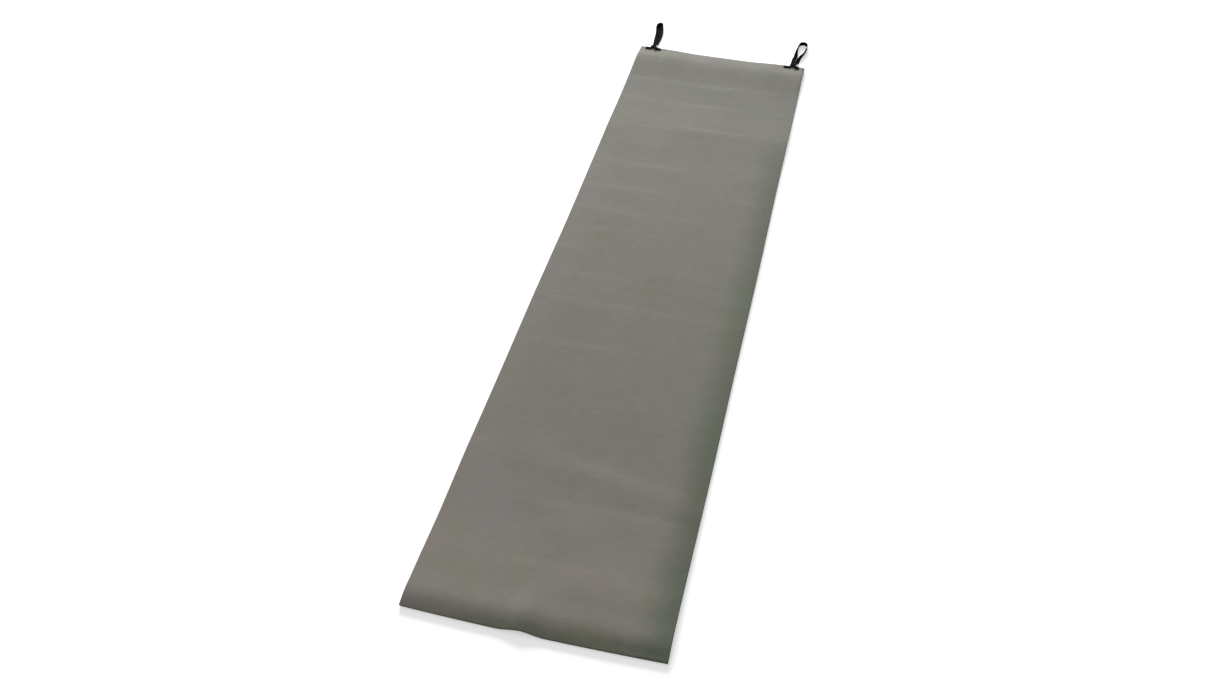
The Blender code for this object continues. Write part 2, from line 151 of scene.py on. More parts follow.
# The elastics, as in the CAD source but for the left loop's tip, which lies flatter. A route has
# sideways, outwards and low side in millimetres, then tilt and slant of the width in degrees
BAND_WIDTH = 0.012
BAND_THICKNESS = 0.001
SEAT_GAP = 0.0003
FLOOR_GAP = 0.0002
TEE_INSET = 0.0395
TEE_REACH = 0.023
TEE_EDGE_MARGIN = 0.0015
RAMP_LENGTH = 0.0046
RAMP_SPARE = 0.0004
ARM_TACK_INSET = 0.0024
THROAT_TACK_INSET = 0.0014
LOOP_DROP = 0.031
LEFT_LEGS = (-0.0035, 0.0015)
RIGHT_LEGS = (0.0003, 0.0072)
LEFT_ROUTE = (
    (-3.4, 8.0, 0.0, 0, 0),
    (-3.4, 19.0, 0.0, 0, 0),
    (-4.2, 32.0, 0.0, 0, 0),
    (-6.4, 50.0, 0.0, 0, 0),
    (-8.0, 68.0, 0.0, 3, 0),
    (-9.2, 86.0, 0.0, 8, 4),
    (-12.4, 104.0, 0.0, 10, 6),
    (-14.9, 116.0, 0.0, 14, 6),
    (-15.9, 123.0, 0.0, 26, 2),
    (-14.8, 129.2, 0.0, 54, -32),
    (-9.6, 132.9, 0.0, 70, -90),
    (-5.4, 129.8, 0.8, 54, -146),
    (-4.8, 123.4, 2.1, 24, -172),
    (-3.4, 116.0, 2.1, 14, -172),
    (-0.4, 104.0, 1.9, 10, -168),
    (2.2, 88.0, 1.9, 9, -174),
    (3.3, 70.0, 1.8, 4, -180),
    (2.7, 52.0, 1.8, 0, -180),
    (1.5, 34.0, 1.9, 0, -180),
    (1.3, 19.0, 1.9, 0, -180),
    (1.4, 8.0, 1.3, 0, -180),
)
RIGHT_ROUTE = (
    (0.2, 8.0, 0.0, 0, 0),
    (0.2, 19.0, 0.0, 0, 0),
    (0.4, 32.0, 0.0, 0, 0),
    (1.0, 48.0, 0.0, 4, 0),
    (3.8, 62.0, 0.0, 12, 0),
    (4.4, 75.0, 0.0, 36, 0),
    (4.6, 89.0, 0.0, 66, 0),
    (5.4, 103.0, 0.0, 82, 0),
    (6.8, 117.0, 0.0, 90, 0),
    (10.6, 127.0, 0.0, 90, 0),
    (19.8, 131.2, 0.0, 90, 0),
    (28.8, 127.0, 0.0, 90, 0),
    (32.4, 117.0, 0.0, 90, 0),
    (31.4, 104.0, 0.0, 90, 0),
    (28.8, 90.0, 0.0, 90, 0),
    (25.4, 75.0, 0.0, 88, 0),
    (20.4, 61.0, 0.0, 75, 0),
    (15.8, 48.0, 0.0, 42, 0),
    (13.2, 37.0, 0.6, 18, 0),
    (12.0, 27.0, 1.3, 9, 0),
    (10.9, 17.0, 1.6, 4, 0),
    (9.1, 8.0, 1.4, 0, 0),
)

TEE_SIDE = HALF_WIDTH - TEE_INSET
TEE_LIFT_INNER = TEE_SIDE - TEE_REACH - TEE_LIFT_SPARE
TEE_LIFT_OUTER = TEE_SIDE + TEE_REACH + TEE_LIFT_SPARE
TEE_LINE = FAR_EDGE - TEE_EDGE_MARGIN - BAND_WIDTH / 2
TEE_TOP = TEE_LIFT + SHEET_THICKNESS
ARM_TACK_PLACE = TEE_REACH - ARM_TACK_INSET
THROAT_TACK_PLACE = BAND_WIDTH / 2 - THROAT_TACK_INSET
LAYER_PITCH = BAND_THICKNESS + SEAT_GAP
FOLD_RADIUS = LAYER_PITCH / 2
FOLD_TRAVEL = math.pi * FOLD_RADIUS / ROOT_TWO
LEG_END = FAR_EDGE - TEE_LINE - SEAT_GAP / 2
FIRST_LAYER = TEE_TOP + SEAT_GAP + BAND_THICKNESS / 2
LOWER_LEG_LAYER = FIRST_LAYER + LAYER_PITCH
UPPER_LEG_LAYER = FIRST_LAYER + 3 * LAYER_PITCH

# Make-up of the bands and of the thread, which sinks into them and dips at each stitch's ends
SELVEDGE = 0.0006
ROUTE_PARTS = 40
ROUTE_NUDGE = 0.01
THREAD_SIDES = 7
STITCH_SINK = 0.00022
STITCH_SINK_REACH = 0.0013
STITCH_DIP = 0.0005
STITCH_ARCH = 0.00022
STITCH_UNDER_ARCH = 0.00012
STITCH_UNDER_LEVEL = 0.00055
RUN_PLACE = 0.22
RUN_POINTS = 12
RUN_END_DIP = 0.0004

# Finishes and stage
SPECK_SHARE = 0.15
YARN_PITCH = 0.00105
TWIST_PITCH = 0.00055
WHITE = (1.0, 1.0, 1.0, 1.0)
BLACK = (0.0, 0.0, 0.0, 1.0)
FLOOR_HALF = 9.0
FLOOR_GLOW = 0.42
FLOOR_GLOW_REACH = (1.4, 5.0)

# Each elastic: its side, the middle of its sewn ends, the middles of its legs and its route
SIDES = (
    ("left", -TEE_SIDE, LEFT_LEGS, LEFT_ROUTE),
    ("right", TEE_SIDE, RIGHT_LEGS, RIGHT_ROUTE),
)


class MatSheetSizes(PropertyGroup):
    """Sizes of the foam sheet's small relief."""

    cut_round: FloatProperty(
        name="Cut edge rounding", description="Radius of the foam's cut edges",
        default=0.0011, unit="LENGTH", precision=5,
    )
    wander: FloatProperty(
        name="Edge wander", description="How far the long cut edges stray from straight",
        default=1.0, subtype="FACTOR",
    )
    dimple: FloatProperty(
        name="Stitch dimple", description="How deep the stitches draw the foam in",
        default=0.0005, unit="LENGTH", precision=5,
    )
    press: FloatProperty(
        name="Band seat", description="How far the foam stands up against the sewn bands",
        default=0.0002, unit="LENGTH", precision=5,
    )


class MatElasticSizes(PropertyGroup):
    """Make-up of the elastic bands."""

    ribs: IntProperty(
        name="Ribs", description="Lengthwise ribs on each face of the band", default=9, min=3
    )
    rib_depth: FloatProperty(
        name="Rib depth", description="Depth of the furrows between the ribs",
        default=0.00013, unit="LENGTH", precision=5,
    )
    step: FloatProperty(
        name="Ring step", description="Distance between the rings of the band's mesh",
        default=0.0010, unit="LENGTH", precision=5,
    )


class MatStitchSizes(PropertyGroup):
    """Make-up of the bar tacks."""

    thread: FloatProperty(
        name="Thread", description="Diameter of the sewing thread",
        default=0.00030, unit="LENGTH", precision=5,
    )
    length: FloatProperty(
        name="Arm tack length", description="Length of the tack across each arm",
        default=0.0085, unit="LENGTH", precision=5,
    )
    throat_length: FloatProperty(
        name="Throat tack length", description="Length of the tack across the folded ends",
        default=0.010, unit="LENGTH", precision=5,
    )
    width: FloatProperty(
        name="Tack width", description="Width of the zigzag",
        default=0.0018, unit="LENGTH", precision=5,
    )
    stitches: IntProperty(
        name="Stitches", description="Zigzag stitches in each tack", default=28, min=6
    )


class MatFinishes(PropertyGroup):
    """Colours of the mat."""

    foam: FloatVectorProperty(
        name="Foam", description="Warm grey of the foam", default=(0.220, 0.2025, 0.1865),
        subtype="COLOR", min=0.0, max=1.0,
    )
    # Used for the random greenish patches and for the olive cast of the painted shade along the near
    # lip
    foam_green_patches_and_lip_shade: FloatVectorProperty(
        name="Foam, greenish", description="What the foam's greenish patches do to its colour",
        default=(0.95, 1.005, 0.915), subtype="COLOR", min=0.0, max=1.1,
    )
    foam_straw: FloatVectorProperty(
        name="Foam, yellowish", description="What the foam's yellowish patches do to its colour",
        default=(1.0, 0.995, 0.925), subtype="COLOR", min=0.0, max=1.1,
    )
    # How much paler the painted light makes the left part of the near lip
    foam_painted_light: FloatVectorProperty(
        name="Foam, rubbed", description="How much paler the foam is near its left front corner",
        default=(1.12, 1.12, 1.12), subtype="COLOR", min=0.0, max=1.2,
    )
    # Colour of the painted shade along the right side, the near lip and before the far lip
    foam_shade: FloatVectorProperty(
        name="Foam, shaded", description="Olive cast of the foam's right side and near end",
        default=(0.113, 0.134, 0.098), subtype="COLOR", min=0.0, max=1.0,
    )
    elastic: FloatVectorProperty(
        name="Elastic", description="Black of the woven elastic", default=(0.0085, 0.0085, 0.009),
        subtype="COLOR", min=0.0, max=1.0,
    )
    thread: FloatVectorProperty(
        name="Thread", description="Black of the sewing thread", default=(0.014, 0.014, 0.015),
        subtype="COLOR", min=0.0, max=1.0,
    )


class MatStage(PropertyGroup):
    """Camera, lamps and floor."""

    camera_place: FloatVectorProperty(
        name="Camera", description="Where the camera stands", default=(0.3855, -1.4254, 1.581),
        subtype="TRANSLATION", unit="LENGTH",
    )
    camera_turn: FloatVectorProperty(
        name="Camera turn", description="Heading, downward tilt and roll of the camera",
        default=(math.radians(-10.71), math.radians(51.49), math.radians(1.51)), unit="ROTATION",
    )
    lens: FloatProperty(
        name="Lens", description="Focal length in millimetres", default=26.39, unit="CAMERA"
    )
    shift: FloatProperty(name="Shift", description="Sideways shift of the lens", default=-0.0683)
    world: FloatProperty(
        name="Sky light", description="Strength of the even light from all round", default=0.31
    )
    key: FloatProperty(
        name="Key share", description="Share of the light that the far lamp gives", default=0.48
    )
    top: FloatProperty(
        name="Top share", description="Share of the light that the overhead lamp gives",
        default=0.10,
    )


class Flow:
    """A socket that takes part in Python expressions. Each operation adds one Math node."""

    def __init__(self, bench, socket):
        self.bench = bench
        self.socket = socket

    def math(self, operation, *others, clamp=False):
        settings = {"operation": operation, "use_clamp": clamp}
        return self.bench.node("ShaderNodeMath", settings, (self,) + others)

    def __add__(self, other):
        return self.math("ADD", other)

    __radd__ = __add__

    def __sub__(self, other):
        return self.math("SUBTRACT", other)

    def __rsub__(self, other):
        return self.bench.node("ShaderNodeMath", {"operation": "SUBTRACT"}, (other, self))

    def __mul__(self, other):
        return self.math("MULTIPLY", other)

    __rmul__ = __mul__

    def __truediv__(self, other):
        return self.math("DIVIDE", other)

    def __abs__(self):
        return self.math("ABSOLUTE")

    def clamped(self):
        return self.math("ADD", 0.0, clamp=True)

    def step(self, low, high):
        """0 up to low and 1 from high on, in either direction, with an even S between."""
        settings = {"interpolation_type": "SMOOTHSTEP"}
        return self.bench.node("ShaderNodeMapRange", settings, {0: self, 1: low, 2: high})

    def blend(self, under, over):
        """The colour under where this is 0 and over where it is 1."""
        return self.bench.mix(self, under, over)

    def tint(self, under, over):
        """The colour under, multiplied by over as far as this says."""
        return self.bench.mix(self, under, over, "MULTIPLY")


class Bench:
    """A node tree being filled, with one method that adds any node to it."""

    def __init__(self, tree):
        self.tree = tree

    def node(self, kind, settings=None, inputs=(), output=0):
        """Adds a node. Its settings are set first, then the values or links of its sockets."""
        node = self.tree.nodes.new(kind)
        for name, value in (settings or {}).items():
            setattr(node, name, value)
        pairs = inputs.items() if isinstance(inputs, dict) else enumerate(inputs)
        for key, value in pairs:
            self.feed(node.inputs[key], value)
        return Flow(self, node.outputs[output])

    def feed(self, socket, value):
        if isinstance(value, Flow):
            self.tree.links.new(value.socket, socket)
        else:
            socket.default_value = value

    def mix(self, share, under, over, kind="MIX"):
        """Two colours, mixed or multiplied by a share that is a number or a Flow."""
        settings = {"data_type": "RGBA", "blend_type": kind}
        return self.node("ShaderNodeMix", settings, {0: share, 6: under, 7: over}, 2)

    def split(self, vector):
        """The three numbers of a vector."""
        first = self.node("ShaderNodeSeparateXYZ", {}, (vector,))
        return [Flow(self, output) for output in first.socket.node.outputs]

    def noise(self, place, scale, detail, roughness=0.5):
        inputs = {"Vector": place, "Scale": scale, "Detail": detail, "Roughness": roughness}
        return self.node("ShaderNodeTexNoise", {}, inputs)

    def stretch(self, place, scale):
        """A place with each axis scaled by its own number."""
        return self.node("ShaderNodeVectorMath", {"operation": "MULTIPLY"}, (place, scale))


class Finish(Bench):
    """A material, with its shader and the nodes that feed it."""

    def __init__(self, name):
        self.material = bpy.data.materials.new(name)
        self.material.use_nodes = True
        super().__init__(self.material.node_tree)
        self.shader = self.tree.nodes["Principled BSDF"]

    def set(self, **sockets):
        for name, value in sockets.items():
            self.feed(self.shader.inputs[name.replace("_", " ")], value)

    def bump(self, height, distance, strength=1.0, under=None):
        inputs = {"Height": height, "Distance": distance, "Strength": strength}
        if under:
            inputs["Normal"] = under
        return self.node("ShaderNodeBump", {}, inputs)

    def place(self):
        """The spot on the piece, in metres."""
        coordinates = self.node("ShaderNodeTexCoord")
        return Flow(self, coordinates.socket.node.outputs["Object"])


def color(rgb):
    return (*rgb, 1.0)


def scaled(rgb, factor):
    """A colour made paler or darker by a factor."""
    return color(value * factor for value in rgb)


def foam_tone(finish, place, colors):
    """Warm grey with greenish and yellowish patches, painted shade at the right side, near lip and
    before the far lip, and painted light at the left edge and near part.
    """
    x, y, _ = finish.split(place)
    blotches = finish.noise(place, 9.0, 3.0)
    streaks = finish.noise(finish.stretch(place, (4.0, 30.0, 1.0)), 1.0, 3.0)
    scuffs = finish.noise(finish.stretch(place, (1.0, 1.6, 1.0)), 60.0, 4.0, 0.6)
    grain = finish.noise(place, 420.0, 2.0)
    # Zones of the sheet, each 0 outside it
    # Painted shade along the right side, stronger towards the near end and none at the far end
    right = x.step(0.165, 0.262) * y.step(0.64, 0.38) * (y.step(-0.10, -0.80) * 0.35 + 0.80)
    # Painted light along the left edge, except towards the far end
    left = x.step(-0.165, -0.252) * y.step(0.60, 0.48)
    # Painted shade along the near lip, weak at its left
    near = y.step(-0.857, -0.917) * (x.step(-0.24, 0.02) * 0.46 + 0.06)
    # Painted light over the near part of the sheet
    painted_light_near_part = y.step(-0.46, -0.64)
    # Painted shade across the sheet just short of the far lip
    painted_shade_before_far_lip = y.step(0.54, 0.70) * y.step(0.865, 0.835)
    # Painted light on the left part of the near lip
    painted_light_left_lip = y.step(-0.80, -0.86) * y.step(-0.888, -0.868) * x.step(0.00, -0.12)
    # How far the foam goes from its pale to its shaded colour: painted shade where a zone adds to
    # it, painted light where one takes from it
    shade = right + near - left * 0.13 - painted_light_near_part * 0.16 + painted_shade_before_far_lip * 0.18 + 0.20
    shade = shade + (blotches - 0.5) * 0.26 + (streaks - 0.5) * 0.20
    shade = (shade + (scuffs - 0.5) * (near * 2.0 + 0.45)).clamped()
    tone = shade.blend(scaled(colors.foam, 1.09), color(colors.foam_shade))
    moss = finish.noise(place, 6.5, 3.0).step(0.47, 0.63)
    # Greenish patches at random, and an olive cast over the painted shade of the near lip
    tone = (moss + near * 3.5).clamped().tint(tone, color(colors.foam_green_patches_and_lip_shade))
    straw = finish.noise(place, 4.5, 3.0, 0.6).step(0.40, 0.58) * (y.step(0.10, -0.60) * 0.75 + 0.25)
    tone = straw.tint(tone, color(colors.foam_straw))
    # Paler by painted light on the left part of the near lip
    tone = painted_light_left_lip.tint(tone, color(colors.foam_painted_light))
    speck = (grain - 0.5) * 0.30 + 0.5
    specks = speck.blend(scaled(colors.foam, 0.80), scaled(colors.foam, 1.20))
    return finish.mix(SPECK_SHARE, tone, specks)


def foam_skin(colors):
    """Skin of closed-cell foam: matt, with a fine pattern of cells and a faint pull across it."""
    finish = Finish("foam_skin")
    place = finish.place()
    cells = finish.node(
        "ShaderNodeTexVoronoi", {"feature": "SMOOTH_F1"},
        {"Vector": place, "Scale": 620.0, "Smoothness": 0.6},
    )
    soft = finish.noise(place, 55.0, 3.0)
    pull = finish.noise(finish.stretch(place, (0.6, 1.0, 1.0)), 120.0, 2.0)
    skin = finish.bump(cells, 0.00016, 0.55)
    skin = finish.bump(soft + pull * 0.6, 0.0009, 0.35, skin)
    finish.set(
        Base_Color=foam_tone(finish, place, colors),
        Roughness=0.86 + (soft - 0.5) * 0.12,
        Normal=skin,
    )
    finish.set(Specular_IOR_Level=0.22, Sheen_Weight=0.04, Sheen_Roughness=0.6)
    finish.set(Coat_Weight=0.05, Coat_Roughness=0.48)
    return finish.material


def foam_cut(colors):
    """Cut side of the sheet, where the knife has opened the cells."""
    finish = Finish("foam_cut")
    place = finish.place()
    cells = finish.node(
        "ShaderNodeTexVoronoi", {"feature": "F1"},
        {"Vector": finish.stretch(place, (1.0, 1.0, 1.35)), "Scale": 900.0},
    )
    tone = foam_tone(finish, place, colors)
    pits = cells.step(0.15, 0.75)
    # Painted shade in the hollows of the opened cells
    dark = finish.mix(1.0, tone, (0.70, 0.71, 0.68, 1.0), "MULTIPLY")
    finish.set(
        Base_Color=pits.blend(dark, tone),
        Roughness=0.97 - pits * 0.05,
        Normal=finish.bump(pits, 0.00030, 0.8),
    )
    finish.set(Specular_IOR_Level=0.15)
    return finish.material


def band_place(finish):
    """Place along and across the flat band, or along and round the thread."""
    spot = finish.node(
        "ShaderNodeAttribute", {"attribute_type": "GEOMETRY", "attribute_name": "band_place"},
        (), 1,
    )
    return finish.split(spot)


def elastic_weave(colors, ribs):
    """Woven elastic: lengthwise ribs covered by slanting yarns that meet in small chevrons."""
    finish = Finish("elastic_weave")
    along, across, _ = band_place(finish)
    column = (across / (BAND_WIDTH / ribs) + 0.5 * ribs).math("FRACT")
    off_crest = abs(column - 0.5) * 2.0
    yarn = ((along / YARN_PITCH + off_crest * 0.55) * TURN).math("SINE") * 0.5 + 0.5
    crest = 1.0 - off_crest * off_crest
    raised = crest * 0.55 + yarn * 0.45
    fuzz = finish.noise(finish.place(), 2600.0, 2.0)
    # Painted highlight on the raised ribs and yarns, painted shade in the furrows, and random fuzz
    crest_light_and_fuzz = ((raised - 0.5) * 0.9 + fuzz * 0.5 + 0.12).clamped()
    finish.set(
        Base_Color=crest_light_and_fuzz.blend(scaled(colors.elastic, 0.55), scaled(colors.elastic, 1.6)),
        Roughness=0.94 - yarn * 0.10,
        Normal=finish.bump(raised + fuzz * 0.35, 0.00016, 0.85),
    )
    finish.set(Specular_IOR_Level=0.02)
    return finish.material


def thread_twist(colors):
    """Sewing thread, with the slanting lines of its twist."""
    finish = Finish("thread_twist")
    along, round_it, _ = band_place(finish)
    twist = ((along / TWIST_PITCH + round_it) * TURN).math("SINE") * 0.5 + 0.5
    # Painted highlight along the raised lines of the twist
    finish.set(
        Base_Color=twist.blend(color(colors.thread), scaled(colors.thread, 1.9)),
        Roughness=0.62 - twist * 0.14,
        Normal=finish.bump(twist, 0.00004, 0.8),
    )
    finish.set(Specular_IOR_Level=0.04)
    return finish.material


def smooth(share):
    """0 below 0, 1 above 1, and an even S between."""
    share = np.clip(share, 0.0, 1.0)
    return share * share * (3.0 - 2.0 * share)


def swell(share):
    """1 in the middle, falling smoothly to 0 at -1 and 1."""
    return smooth(1.0 - np.abs(share))


def lip(from_edge, setback, reach):
    """A hump along an end: 0 at the edge, 1 at the setback and 0 again at its reach."""
    rise = np.sin(0.5 * math.pi * np.clip(from_edge / setback, 0.0, 1.0))
    return np.where(from_edge < setback, rise, smooth((reach - from_edge) / (reach - setback)))


def hump(x, setback):
    """Roll memory of the near end, lower at its right."""
    fade = smooth((x - HALF_WIDTH + HUMP_FADE_WIDTH) / HUMP_FADE_WIDTH)
    share = 1.0 - (1.0 - HUMP_RIGHT_SHARE) * fade
    return HUMP_HEIGHT * share * lip(setback, HUMP_SETBACK, HUMP_REACH)


def far_lip(x, from_far):
    """Roll memory of the far end. Where an elastic is sewn on, the sheet stays level at its edge."""
    between = smooth((FAR_LIP_SIDE - np.abs(x)) / FAR_LIP_FADE)
    free = lip(from_far, FAR_LIP_SETBACK, FAR_LIP_REACH)
    climb = (from_far - FAR_LIP_LEVEL) / (FAR_LIP_SETBACK - FAR_LIP_LEVEL)
    sewn = np.where(from_far < FAR_LIP_SETBACK, smooth(climb), free)
    return FAR_LIP_HEIGHT * (between * free + (1.0 - between) * FAR_LIP_SEWN_SHARE * sewn)


def wave(x, setback):
    """The short wave in the near edge."""
    return swell((x - WAVE_PLACE) / WAVE_HALF_WIDTH) * smooth(1.0 - setback / WAVE_DEPTH)


def edge_shift(x, setback):
    """How far the near edge bows outwards, and is drawn in at its wave."""
    bow = (1.0 - (x / HALF_WIDTH) ** 2) * smooth(1.0 - setback / EDGE_BOW_DEPTH)
    return WAVE_DRAW * wave(x, setback) - EDGE_BOW * bow


def ridge(x, setback):
    """The low slanting ridge across the near half."""
    share = x / SHEET_WIDTH + 0.5
    crest = RIDGE_LEFT_SETBACK + (RIDGE_RIGHT_SETBACK - RIDGE_LEFT_SETBACK) * share
    fade = smooth((x + HALF_WIDTH) / RIDGE_END_FADE)
    half = np.where(setback < crest, RIDGE_FOOT, RIDGE_HALF_WIDTH)
    return RIDGE_HEIGHT * fade * swell((setback - crest) / half)


def tee_lift(x, from_far):
    """The lift of the far corners that carry the elastics."""
    inner = smooth((np.abs(x) - TEE_LIFT_INNER + TEE_LIFT_FADE) / TEE_LIFT_FADE)
    corner = smooth((np.abs(x) - TEE_LIFT_OUTER) / (HALF_WIDTH - TEE_LIFT_OUTER))
    depth = smooth((TEE_LIFT_REACH - from_far) / (TEE_LIFT_REACH - TEE_LIFT_FLAT_DEPTH))
    return TEE_LIFT * inner * (1.0 - (1.0 - CORNER_SHARE) * corner) * depth


def roll_waves(x, y):
    """Waves and creases left by rolling, each with a climb and a drop of its own length."""
    height = np.zeros_like(x + y)
    for place, slant, lift, climb, drop, start, end in ROLL_WAVES:
        past = y - place - slant * x - CREASE_WANDER * np.sin(29.0 * x + 40.0 * place)
        profile = np.where(past < 0.0, smooth(1.0 + past / climb), smooth(1.0 - past / drop))
        span = smooth((x - start) / CREASE_FADE) * smooth((end - x) / CREASE_FADE)
        uneven = 0.72 + 0.28 * np.sin(23.0 * x + 61.0 * place)
        height += lift * profile * span * uneven
    return height


def sheet_lift(x, y):
    """How far the sheet stands off the floor."""
    setback = y - NEAR_EDGE
    near = hump(x, setback) + WAVE_LIFT * wave(x, setback) + ridge(x, setback)
    far = tee_lift(x, FAR_EDGE - y) + far_lip(x, FAR_EDGE - y)
    return near + far + roll_waves(x, y)


def spaced(*stretches):
    """Places from stretches of (start, end, step), each evenly divided."""
    places = []
    for start, end, step in stretches:
        count = max(int(round((end - start) / step)), 1)
        places.append(np.linspace(start, end, count + 1)[:-1])
    return np.concatenate(places + [[stretches[-1][1]]])


def segment_distance(points, start, end):
    """Distance in plan from each point to a straight seam."""
    run = np.subtract(end, start)
    share = np.clip((points[:, :2] - start) @ run / (run @ run), 0.0, 1.0)
    return np.linalg.norm(points[:, :2] - start - share[:, None] * run, axis=1)


def run_lengths(points):
    """How far along a line of points each of them lies."""
    steps = np.linalg.norm(np.diff(points, axis=0), axis=1)
    return np.concatenate([[0.0], np.cumsum(steps)])


def tack_spots(tee_x, legs):
    """Name, middle, whether it runs along X, and the band's top, for an elastic's three tacks."""
    arm = BAND_THICKNESS / 2 + FIRST_LAYER
    throat = BAND_THICKNESS / 2 + UPPER_LEG_LAYER
    middle = tee_x + sum(legs) / 2
    return (
        ("lower_end_tack", (tee_x - ARM_TACK_PLACE, TEE_LINE), False, arm),
        ("upper_end_tack", (tee_x + ARM_TACK_PLACE, TEE_LINE), False, arm),
        ("throat_tack", (middle, TEE_LINE + THROAT_TACK_PLACE), True, throat),
    )


def seams(stitch):
    """Start, end and the band's top for the line of every tack."""
    for _, tee_x, legs, _ in SIDES:
        for _, spot, along_x, top in tack_spots(tee_x, legs):
            half = (stitch.throat_length / 2, 0.0) if along_x else (0.0, stitch.length / 2)
            yield np.subtract(spot, half), np.add(spot, half), top


def thread_rings(path, radius):
    """Rings of a round thread along a path that doesn't start straight up."""
    headings = np.gradient(path, axis=0)
    headings /= np.linalg.norm(headings, axis=1)[:, None]
    across = np.cross(headings[0], (0.0, 0.0, 1.0))
    turn = np.linspace(0.0, TURN, THREAD_SIDES, endpoint=False)[:, None]
    rings = []
    for point, heading in zip(path, headings):
        across = across - heading * (across @ heading)
        across /= np.linalg.norm(across)
        up = np.cross(heading, across)
        rings.append(point + radius * (np.cos(turn) * across + np.sin(turn) * up))
    return np.array(rings)


def ring_faces(rings, count, start=0):
    """Quads between neighbouring rings, and a face over each end."""
    faces = []
    for ring in range(rings - 1):
        for spot in range(count):
            after = (spot + 1) % count
            first = start + ring * count
            faces.append((first + spot, first + after, first + count + after, first + count + spot))
    last = start + (rings - 1) * count
    faces.append(tuple(range(start + count - 1, start - 1, -1)))
    faces.append(tuple(range(last, last + count)))
    return faces


def new_piece(name, points, faces, materials):
    """A smooth object from points and faces that face outwards."""
    mesh = bpy.data.meshes.new(name)
    mesh.from_pydata([tuple(point) for point in points], [], faces)
    mesh.validate()
    if not len(mesh.polygons):
        raise RuntimeError(name + " came out empty")
    for material in materials:
        mesh.materials.append(material)
    mesh.shade_smooth()
    piece = bpy.data.objects.new(name, mesh)
    bpy.context.scene.collection.objects.link(piece)
    return piece


def keep_places(piece, places):
    """Stores the place on the flat band, or on the thread, of each point of a mesh."""
    attribute = piece.data.attributes.new("band_place", "FLOAT_VECTOR", "POINT")
    attribute.data.foreach_set("vector", np.asarray(places, dtype=float).ravel())


def sheet_columns(inset):
    """Lines along the sheet: close together at its sides and where the bands are sewn on."""
    outer = HALF_WIDTH - inset
    sewn = TEE_SIDE - TEE_REACH - 3 * MM
    sewn_end = TEE_SIDE + TEE_REACH + 3 * MM
    half = spaced((0.0, sewn, 10 * MM), (sewn, sewn_end, 1.6 * MM), (sewn_end, outer, 1.4 * MM))
    return np.concatenate([-half[:0:-1], half])


def sheet_rows(inset):
    """Lines across the sheet: close together at its ends and where it is creased."""
    near = NEAR_EDGE + inset
    far = FAR_EDGE - inset
    rows = [spaced(
        (near, near + 0.02, 2.5 * MM), (near + 0.02, -0.82, 5 * MM), (-0.82, 0.80, 13 * MM),
        (0.80, far - 0.020, 5 * MM), (far - 0.020, far, 1.25 * MM),
    )]
    for place, slant, _, _, drop, start, end in ROLL_WAVES:
        if drop < CREASE_DROP:
            sides = np.clip((start, end), -HALF_WIDTH, HALF_WIDTH) * slant + place
            first = sides.min() - 6 * MM
            last = sides.max() + drop + 5 * MM
            rows.append(np.arange(first, last, CREASE_ROW_STEP))
    kept = [near]
    for row in np.sort(np.concatenate(rows)):
        if row - kept[-1] > 1.2 * MM:
            kept.append(row)
    return np.array(kept)


def side_wander(x, y, share):
    """How far the long edges stray from straight: a knife led along a rule by hand."""
    near_side = smooth((np.abs(x) - 0.5 * HALF_WIDTH) / (0.5 * HALF_WIDTH))
    left = 0.9 * np.sin(5.2 * y + 0.4) + 0.5 * np.sin(13.0 * y)
    right = 0.6 * np.sin(4.1 * y + 2.0) + 0.4 * np.sin(11.0 * y + 1.0)
    ends = smooth((FAR_EDGE - np.abs(y)) / SIDE_WANDER_FADE)
    return np.where(x < 0, left, right) * share * MM * near_side * ends


def cut_profile(radius):
    """The rounded cut edge from top to underside, as (outwards, height) pairs."""
    turns = np.radians((22.5, 45.0, 67.5, 90.0))
    upper = [(radius * math.sin(t), SHEET_THICKNESS - radius * (1 - math.cos(t))) for t in turns]
    middle = [(radius, SHEET_THICKNESS * share) for share in (0.62, 0.38)]
    lower = [(outwards, SHEET_THICKNESS - height) for outwards, height in upper[::-1]]
    return upper + middle + lower


def flat_sheet(radius):
    """Points and faces of the flat sheet, and which faces lie on its cut side."""
    columns = sheet_columns(radius)
    rows = sheet_rows(radius)
    grid_x, grid_y = np.meshgrid(columns, rows)
    under = np.stack([grid_x.ravel(), grid_y.ravel(), np.zeros(grid_x.size)], 1)
    number = np.arange(grid_x.size).reshape(grid_x.shape)
    border = np.concatenate(
        [number[0, :-1], number[:-1, -1], number[-1, :0:-1], number[:0:-1, 0]]
    )
    side_x, side_y = under[border, 0], under[border, 1]
    outwards = np.stack([
        (side_x == columns[-1]) * 1.0 - (side_x == columns[0]),
        (side_y == rows[-1]) * 1.0 - (side_y == rows[0]),
    ], 1)
    points = [under + (0.0, 0.0, SHEET_THICKNESS)]
    loops = [border]
    for offset, height in cut_profile(radius):
        loops.append(sum(map(len, points)) + np.arange(len(border)))
        ring = under[border].copy()
        ring[:, :2] += outwards * offset
        ring[:, 2] = height
        points.append(ring)
    bottom = sum(map(len, points))
    loops.append(bottom + border)
    points.append(under)
    top_faces = np.stack(
        [number[:-1, :-1], number[:-1, 1:], number[1:, 1:], number[1:, :-1]], 2
    ).reshape(-1, 4)
    faces = [top_faces]
    for above, below in zip(loops[:-1], loops[1:]):
        faces.append(np.stack([above, below, np.roll(below, -1), np.roll(above, -1)], 1))
    faces.append(bottom + top_faces[:, ::-1])
    uncut = len(top_faces) + 3 * len(border)
    faces = np.concatenate(faces)
    cut = np.zeros(len(faces), dtype=np.int32)
    cut[uncut:-uncut] = 1
    return np.concatenate(points), faces, cut


